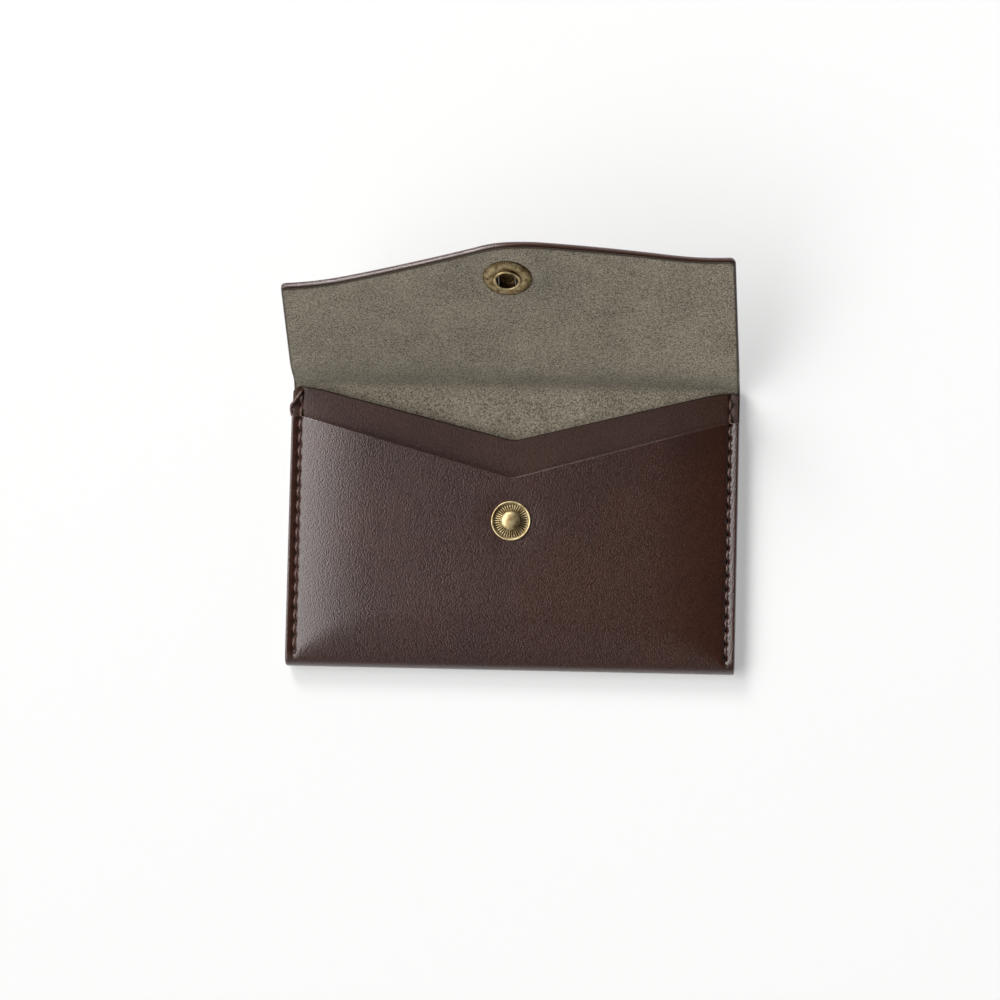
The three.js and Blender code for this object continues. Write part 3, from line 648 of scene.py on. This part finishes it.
middle, gap = dividerSheet()
dip = stitchDip(middle[..., 0], middle[..., 1], seam["valley"], seam["pit"]) * seam["dividerShare"]
divider = sheetPiece("divider_leather", middle, gap, dividerCut, dividerLeather, dip=dip)
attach(divider, "pocket")
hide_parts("divider")
print("divider:", len(divider.data.polygons), "faces")

stitch = {
    "radius": 0.35, "lobe": 0.1, "twist": 1.3, "sides": 18, "perStitch": 18, "dive": 1.8, "arch": 1.8,
    "frontLevel": 4.95, "dividerLevel": 3.42, "backLevel": 0.42, "stepStart": 0.2, "stepRun": 1.0,
    "endTaper": 12,
}


def twistedStrand(path, ends):
    # three plies: a three-lobed circle carried along a path and turning as it goes; ends narrows it
    way = np.gradient(path, axis=0)
    steps = np.linalg.norm(way, axis=1, keepdims=True)
    way /= steps
    side = np.cross(np.cross(way, (1, 0, 0)), way)
    side /= -np.linalg.norm(side, axis=1, keepdims=True)
    turn = np.linspace(0, 2 * math.pi, stitch["sides"], endpoint=False)
    lobes = np.cos(3 * turn - 2 * math.pi * np.cumsum(steps)[:, None] / stitch["twist"])
    radius = stitch["radius"] * (1 + stitch["lobe"] * lobes) * ends[:, None]
    spots = path[:, None] + (radius * np.cos(turn))[..., None] * side[:, None]
    spots = spots + (radius * np.sin(turn))[..., None] * np.cross(side, way)[:, None]
    ids = np.arange(radius.size).reshape(radius.shape)
    ids = np.hstack([ids, ids[:, :1]])
    ids[0], ids[-1] = ids[0, 0], ids[-1, 0]
    # the last value is 1 on the crowns of the plies and 0 in the grooves, for their painted highlight and
    # painted shade
    return spots.reshape(-1, 3), gridFaces(ids)[:, ::-1], 0.5 + 0.5 * lobes


def seamThread(side, level, dive):
    # a strand that arches over each stitch and dives into the leather at its ends
    phase = np.linspace(0, seam["holes"] - 1, (seam["holes"] - 1) * stitch["perStitch"] + 1)
    y = seam["first"] + phase * seam["pitch"]
    z = level(y) - dive * np.abs(2 * (phase - np.floor(phase)) - 1) ** stitch["arch"]
    ends = np.sqrt(np.clip(np.minimum(phase, phase[-1] - phase) * stitch["endTaper"], 0, 1))
    return twistedStrand(np.stack([side * seamX + 0 * y, y, z], -1), ends)


def compact(points, faces, *values):
    # drops the points that no face uses
    used, numbers = np.unique(faces, return_inverse=True)
    return [points[used], numbers.reshape(faces.shape)] + [np.ravel(value)[used] for value in values]


def frontLevel(y):
    # on the front leather, then an eased step down to the divider above the front's edge
    step = smooth((y - frontEdge(np.array(seamX)) + stitch["stepStart"]) / stitch["stepRun"])
    return stitch["frontLevel"] + (stitch["dividerLevel"] - stitch["frontLevel"]) * step


def backLevel(y):
    # the same all along
    return stitch["backLevel"] + 0 * y


for sideName, side in (("left", -1), ("right", 1)):
    for face, level, dive in (("front", frontLevel, stitch["dive"]), ("back", backLevel, -stitch["dive"])):
        points, faces, crownLight = compact(*seamThread(side, level, dive))
        thread = makePiece(f"{sideName}_{face}_stitching", points, faces, waxedThread, {"plyCrownLight": crownLight})
        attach(thread, "pocket")
        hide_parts(f"{sideName}_{face}_thread")

# the left seam's last turn, over the edge of the divider and in under the front
tail = {"easing": 4, "endTaper": 30, "corners": [
    (-seamX, 30.6, 2.6), (-seamX, 30.5, 3.75), (-51.2, 29.2, 4.0), (-52.1, 28.0, 3.95),
    (-52.85, 27.2, 3.2), (-52.9, 26.2, 2.3), (-52.8, 25.2, 1.9), (-52.2, 24.4, 2.1),
]}
tailPath = rounded(tail["corners"], tail["easing"])
alongTail = np.linspace(0, 1, len(tailPath))
tailEnds = np.sqrt(np.clip(np.minimum(alongTail, 1 - alongTail) * tail["endTaper"], 0, 1))
points, faces, crownLight = compact(*twistedStrand(tailPath, tailEnds))
tailThread = makePiece("left_tail_stitching", points, faces, waxedThread, {"plyCrownLight": crownLight})
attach(tailThread, "pocket")
print("seams sewn")


def turnedPiece(name, profile, columns, closed, toFrame, rub, shape=None):
    # a profile of radius and height turned about its axis; shape moves each point by its angle, and
    # toFrame puts it in place
    angle = np.linspace(0, 2 * math.pi, columns, endpoint=False)[None]
    radius, height = profile[:, :1] + 0 * angle, profile[:, 1:] + 0 * angle
    if shape:
        radius, height = shape(radius, height, angle)
    points = toFrame(radius * np.cos(angle), radius * np.sin(angle), height)
    ids = np.arange(radius.size).reshape(radius.shape)
    ids = np.hstack([ids, ids[:, :1]])
    if closed:
        ids = np.vstack([ids, ids[:1]])
    else:
        ids[0], ids[-1] = ids[0, 0], ids[-1, 0]
    points, faces, rubbed = compact(points.reshape(-1, 3), gridFaces(ids), rub(radius, height, angle))
    return makePiece(name, points, faces, antiqueBrass, {"rubbed": rubbed})


def ridges(count, angle):
    # evenly spaced round waves, 1 on their tops and 0 between them
    return 0.5 + 0.5 * np.cos(count * angle)


# radii and heights in mm; worn shares run from 0, all dark, to 1, all bright
stud = {
    "columns": 304, "flutes": 38, "fluteDepth": 0.26, "fluteIn": 2.05, "fluteInRun": 0.4,
    "fluteOut": 3.95, "fluteOutRun": 0.3, "underside": 0.15, "neck": 0.8,
    "rimWorn": 0.95, "rimIn": 4, "rimLevel": 0.4, "rimRun": 0.1,
    "headWorn": 0.95, "headOut": 2.4, "headLevel": 1.25, "headRun": 0.3,
    "topsWorn": 0.8, "topsIn": 2.0, "topsOut": 3.9, "topsRun": 0.4,
    "dishWorn": 0.3, "dishIn": 3.4, "dishOut": 4.3, "allWorn": 0.05,
}
studBase = studLow[2]
# from the hollow underneath out to the rim, in over the dish, up the neck and over the head
studProfile = rounded([
    (0, 1.25), (1.2, 1.25), (1.2, 0), (4.6, 0), (4.65, 0.1), (4.65, 0.45), (4.5, 0.56), (4.34, 0.56),
    (4.18, 0.46), (4.05, 0.36), (3.75, 0.3), (3.2, 0.35), (2.5, 0.56), (2.0, 0.66), (1.62, 0.75),
    (1.55, 1.1), (1.55, 1.42), (1.9, 1.5), (2.2, 1.6), (2.2, 1.7), (1.9, 1.92), (1.35, 2.13),
    (0.7, 2.25), (0, 2.28),
], 2)
studProfile[:, 1] *= (studHigh[2] - studBase) / studProfile[:, 1].max()


def studShape(radius, height, angle):
    # radial flutes pressed into the dish between the rim and the neck
    band = smooth((radius - stud["fluteIn"]) / stud["fluteInRun"])
    band = band * smooth((stud["fluteOut"] - radius) / stud["fluteOutRun"]) * (height > stud["underside"])
    return radius, height - stud["fluteDepth"] * band * (1 - ridges(stud["flutes"], angle))


def studRub(radius, height, angle):
    # rubbed bright on the rim, the head and the tops of the flutes, and a little in the dish
    rim = smooth((height - stud["rimLevel"]) / stud["rimRun"]) * (radius > stud["rimIn"])
    head = smooth((height - stud["headLevel"]) / stud["headRun"]) * (radius < stud["headOut"])
    tops = smooth((radius - stud["topsIn"]) / stud["topsRun"])
    tops = tops * smooth((stud["topsOut"] - radius) / stud["topsRun"]) * ridges(stud["flutes"], angle)
    dish = stud["dishWorn"] * (radius > stud["dishIn"]) * (radius < stud["dishOut"])
    low = (stud["topsWorn"] * tops + dish) * (height > stud["underside"]) * (height < stud["neck"])
    return stud["rimWorn"] * rim + stud["headWorn"] * head + low + stud["allWorn"]


def onFront(a, b, height):
    # front's own axes: across and up from the stud's middle, and out of the leather
    return np.stack([studMiddle[0] + a, studMiddle[1] + b, studBase + height], -1)


studPiece = turnedPiece("stud_brass", studProfile, stud["columns"], False, onFront, studRub, studShape)
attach(studPiece, "pocket")
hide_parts("snap_stud")

socket = {
    "columns": 384, "teeth": 64, "toothDepth": 0.09, "toothIn": 5.0, "toothRun": 0.35, "toothLow": 1.02,
    "dimples": 6, "dimpleRadius": 4.35, "dimpleDepth": 0.28, "dimpleWide": 0.42, "dimpleLow": 1.2,
    "lipWorn": 0.85, "lipLevel": 1.9, "lipRun": 0.15,
    "ringWorn": 0.6, "ringLevel": 1.35, "ringRun": 0.35, "ringIn": 3.3,
    "teethWorn": 0.4, "teethLevel": 1.1,
}
# a ring: along its underside, round the rim, in over the crown, up to the lip and down the mouth
socketProfile = rounded([
    (1.2, 0.1), (3.2, 0.1), (3.2, 0.98), (5.5, 0.98), (5.62, 1.0), (5.62, 1.3), (5.4, 1.42), (5.1, 1.5),
    (4.7, 1.68), (4.3, 1.78), (3.9, 1.76), (3.5, 1.62), (3.28, 1.6), (3.2, 1.85), (3.05, 2.12),
    (2.7, 2.15), (2.5, 2.05), (2.475, 1.8), (2.475, 0.42), (1.2, 0.4), (1.2, 0.1),
], 2)[:-1]


def socketShape(radius, height, angle):
    # fine teeth round the outer rim, and round dimples pressed in the ring
    rimBand = smooth((radius - socket["toothIn"]) / socket["toothRun"]) * (height > socket["toothLow"])
    height = height - socket["toothDepth"] * rimBand * (1 - ridges(socket["teeth"], angle))
    nearest = np.round(angle / (2 * math.pi) * socket["dimples"]) * 2 * math.pi / socket["dimples"]
    fromDimple = np.hypot(radius * np.cos(angle) - socket["dimpleRadius"] * np.cos(nearest),
                          radius * np.sin(angle) - socket["dimpleRadius"] * np.sin(nearest))
    dimple = np.exp(-(fromDimple / socket["dimpleWide"]) ** 2) * (height > socket["dimpleLow"])
    return radius, height - socket["dimpleDepth"] * dimple


def socketRub(radius, height, angle):
    # bright on the lip and the crown of the ring, dark in the dimples and down the mouth
    lip = smooth((height - socket["lipLevel"]) / socket["lipRun"])
    ring = smooth((height - socket["ringLevel"]) / socket["ringRun"]) * (radius > socket["ringIn"])
    teeth = (radius > socket["toothIn"]) * (height > socket["teethLevel"]) * ridges(socket["teeth"], angle)
    return socket["lipWorn"] * lip + socket["ringWorn"] * ring + socket["teethWorn"] * teeth


def onFlap(a, b, height):
    # flap's own axes: across and along it from the snap's middle, and inwards from its fold's plane
    way = np.radians(flapAngle)
    along = snapReach + b
    y = flapFold[0] + along * math.cos(way) - height * math.sin(way)
    z = flapFold[1] + along * math.sin(way) + height * math.cos(way)
    return np.stack([a + 0 * y, y, z], -1)


socketPiece = turnedPiece("socket_brass", socketProfile, socket["columns"], True, onFlap, socketRub,
                          socketShape)
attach(socketPiece, "flap")
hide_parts("snap_socket")

# sideShade is the darker level of the cap away from its crown, a painted shade; crownWorn brightens the
# rubbed crown
cap = {
    "columns": 96, "sideShade": 0.35, "crownWorn": 0.5, "crownLevel": 1.5, "crownRun": 0.8, "postLevel": -0.95,
}
# from the post out to the edge and over the crown, then turned round so that its faces point out
capProfile = rounded([
    (0, 0.4), (1.1, 0.4), (1.1, 0.05), (2, 0.05), (2, -1), (5.15, -1), (5.25, -1.08), (5.25, -1.3),
    (5.1, -1.46), (4.6, -1.74), (3.6, -2.1), (2.2, -2.34), (0.8, -2.42), (0, -2.42),
], 2)[::-1]


def capRub(radius, height, angle):
    # held at a darker level away from the crown as painted shade, brighter over the crown where it is rubbed,
    # dark on the post
    crownShare = smooth((-height - cap["crownLevel"]) / cap["crownRun"])
    return (cap["sideShade"] + cap["crownWorn"] * crownShare) * (height < cap["postLevel"])


capPiece = turnedPiece("cap_brass", capProfile, cap["columns"], False, onFlap, capRub)
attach(capPiece, "flap")
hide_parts("snap_cap")

wire = {
    "radius": 0.2, "halfLength": 1.8, "spacing": 4.0, "level": 1.7, "sides": 16, "rows": 25, "bow": 0.12,
    "endTaper": 6,
}


def springWire(name, side):
    # round wire along the flap, bowed a little towards the middle, its ends rounded off
    t = np.linspace(-1, 1, wire["rows"])[:, None]
    turn = np.linspace(0, 2 * math.pi, wire["sides"], endpoint=False)[None]
    radius = wire["radius"] * np.sqrt(np.clip((1 - t ** 2) * wire["endTaper"], 0, 1))
    a = side * (wire["spacing"] / 2 - wire["bow"] * (1 - t ** 2)) + radius * np.cos(turn)
    height = wire["level"] + radius * np.sin(turn)
    points = onFlap(a, wire["halfLength"] * t + 0 * turn, height)
    ids = np.arange(a.size).reshape(a.shape)
    ids = np.hstack([ids, ids[:, :1]])
    ids[0], ids[-1] = ids[0, 0], ids[-1, 0]
    points, faces = compact(points.reshape(-1, 3), gridFaces(ids)[:, ::-1])
    return makePiece(name, points, faces, springSteel)


for sideName, side in (("left", -1), ("right", 1)):
    spring = springWire(f"{sideName}_wire", side)
    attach(spring, "flap")
    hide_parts(f"socket_spring_{sideName}")

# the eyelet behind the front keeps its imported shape
frame["nodes"]["stud_eyelet"].data.materials.clear()
frame["nodes"]["stud_eyelet"].data.materials.append(antiqueBrass)
print("snap set")

# pale floor that shows white to the camera and keeps the shadow
floorLook = {"size": 6000, "colour": "#fcfcfb", "glow": 0.38, "glowColour": "#ffffff"}
floorMesh = bpy.data.meshes.new("table_top")
reach = floorLook["size"] / 2
corners = np.array([(-reach, -reach, 0), (reach, -reach, 0), (reach, reach, 0), (-reach, reach, 0)])
floorMesh.from_pydata((corners * mm).tolist(), [], [(0, 1, 2, 3)])
floor = bpy.data.objects.new("table_top", floorMesh)
bpy.context.scene.collection.objects.link(floor)
floorPaper, tree = newMaterial("paper seamless white")
lightPath = addNode(tree, "ShaderNodeLightPath").outputs
seen = lightPath["Is Camera Ray"]
for ray in ("Is Glossy Ray", "Is Transmission Ray"):
    seen = addNode(tree, "ShaderNodeMath", {0: seen, 1: lightPath[ray]}, operation="MAXIMUM").outputs[0]
glowShare = addNode(tree, "ShaderNodeMath", {0: seen, 1: floorLook["glow"]}, operation="MULTIPLY").outputs[0]
paper = addNode(tree, "ShaderNodeBsdfDiffuse", {"Color": hexColour(floorLook["colour"])}).outputs[0]
glow = addNode(tree, "ShaderNodeEmission", {
    "Color": hexColour(floorLook["glowColour"]), "Strength": 1.0,
}).outputs[0]
shown = addNode(tree, "ShaderNodeMixShader", {0: glowShare, 1: paper, 2: glow}).outputs[0]
addNode(tree, "ShaderNodeOutputMaterial", {"Surface": shown})
floorMesh.materials.append(floorPaper)

# soft light: a large lamp from the upper left, in a dim room with two broad windows high at the left
# and a white reflector low in front
keyLamp = {"from": (-0.88, 1.58, 1.25), "size": 0.8, "power": 27.0}
room = {"wall": 0.3, "wallTop": 0.1, "ceilingStart": 0.5, "ceiling": 0.03}
panels = {
    "window": {"toward": (-0.65, 0.22, 0.73), "light": 4.2, "edge": 0.895, "middle": 0.975},
    "side window": {"toward": (-0.62, -0.38, 0.69), "light": 2.6, "edge": 0.89, "middle": 0.975},
    "reflector": {"toward": (-0.3, -0.9, 0.22), "light": 0.3, "edge": 0.78, "middle": 0.97},
}
world = bpy.data.worlds.new("studio room")
world.use_nodes = True
tree = world.node_tree
tree.nodes.clear()
direction = addNode(tree, "ShaderNodeTexCoord").outputs["Generated"]
upShare = addNode(tree, "ShaderNodeSeparateXYZ", {0: direction}).outputs["Z"]
roomLight = addNode(tree, "ShaderNodeMapRange", {
    "Value": upShare, "From Min": room["wallTop"], "From Max": room["ceilingStart"],
    "To Min": room["wall"], "To Max": room["ceiling"],
}, interpolation_type="SMOOTHSTEP").outputs["Result"]
for panel in panels.values():
    facing = addNode(tree, "ShaderNodeVectorMath", {
        0: direction, 1: Vector(panel["toward"]).normalized(),
    }, operation="DOT_PRODUCT").outputs["Value"]
    panelLight = addNode(tree, "ShaderNodeMapRange", {
        "Value": facing, "From Min": panel["edge"], "From Max": panel["middle"], "To Max": panel["light"],
    }, interpolation_type="SMOOTHSTEP").outputs["Result"]
    roomLight = addNode(tree, "ShaderNodeMath", {0: roomLight, 1: panelLight}, operation="ADD").outputs[0]
sky = addNode(tree, "ShaderNodeBackground", {"Color": (1, 1, 1, 1), "Strength": roomLight}).outputs[0]
addNode(tree, "ShaderNodeOutputWorld", {"Surface": sky})
bpy.context.scene.world = world
light = bpy.data.lights.new("key", "AREA")
light.shape = "DISK"
light.size = keyLamp["size"]
light.energy = keyLamp["power"]
holder = bpy.data.objects.new("key", light)
holder.location = keyLamp["from"]
holder.rotation_mode = "QUATERNION"
holder.rotation_quaternion = (-Vector(keyLamp["from"])).to_track_quat("-Z", "Y")
bpy.context.scene.collection.objects.link(holder)
print("floor and light set")

# camera almost straight above, a little to the right and below; origin is the pixel that the target
# comes to
shot = {
    "tiltRight": 4.44, "tiltLow": 4.38, "roll": 1.4, "distance": 1000, "pixelsPerMm": 4.28,
    "image": 1000, "origin": (512.12, 524.67), "target": (0, 0, 4), "sensor": 36,
}
tiltRight, tiltLow, roll = (math.radians(shot[turn]) for turn in ("tiltRight", "tiltLow", "roll"))
away = Vector((math.tan(tiltRight), -math.tan(tiltLow), 1)).normalized()
right = (-away).cross(Vector((0, 1, 0))).normalized()
up = right.cross(-away)
right, up = math.cos(roll) * right + math.sin(roll) * up, math.cos(roll) * up - math.sin(roll) * right
halfImage = shot["image"] / 2
aim = Vector(shot["target"]) - right * ((shot["origin"][0] - halfImage) / shot["pixelsPerMm"])
aim += up * ((shot["origin"][1] - halfImage) / shot["pixelsPerMm"])
spot = (aim + away * shot["distance"]) * mm
camera = bpy.data.cameras.new("copy stand camera")
camera.sensor_width = shot["sensor"]
camera.lens = shot["pixelsPerMm"] * shot["distance"] / shot["image"] * shot["sensor"]
camera.clip_start, camera.clip_end = 0.01, 20
stand = bpy.data.objects.new("copy stand camera", camera)
stand.matrix_world = Matrix((
    (right.x, up.x, away.x, spot.x),
    (right.y, up.y, away.y, spot.y),
    (right.z, up.z, away.z, spot.z),
    (0, 0, 0, 1),
))
bpy.context.scene.collection.objects.link(stand)
bpy.context.scene.camera = stand
bpy.context.scene.view_settings.view_transform = "Standard"
bpy.context.view_layer.update()
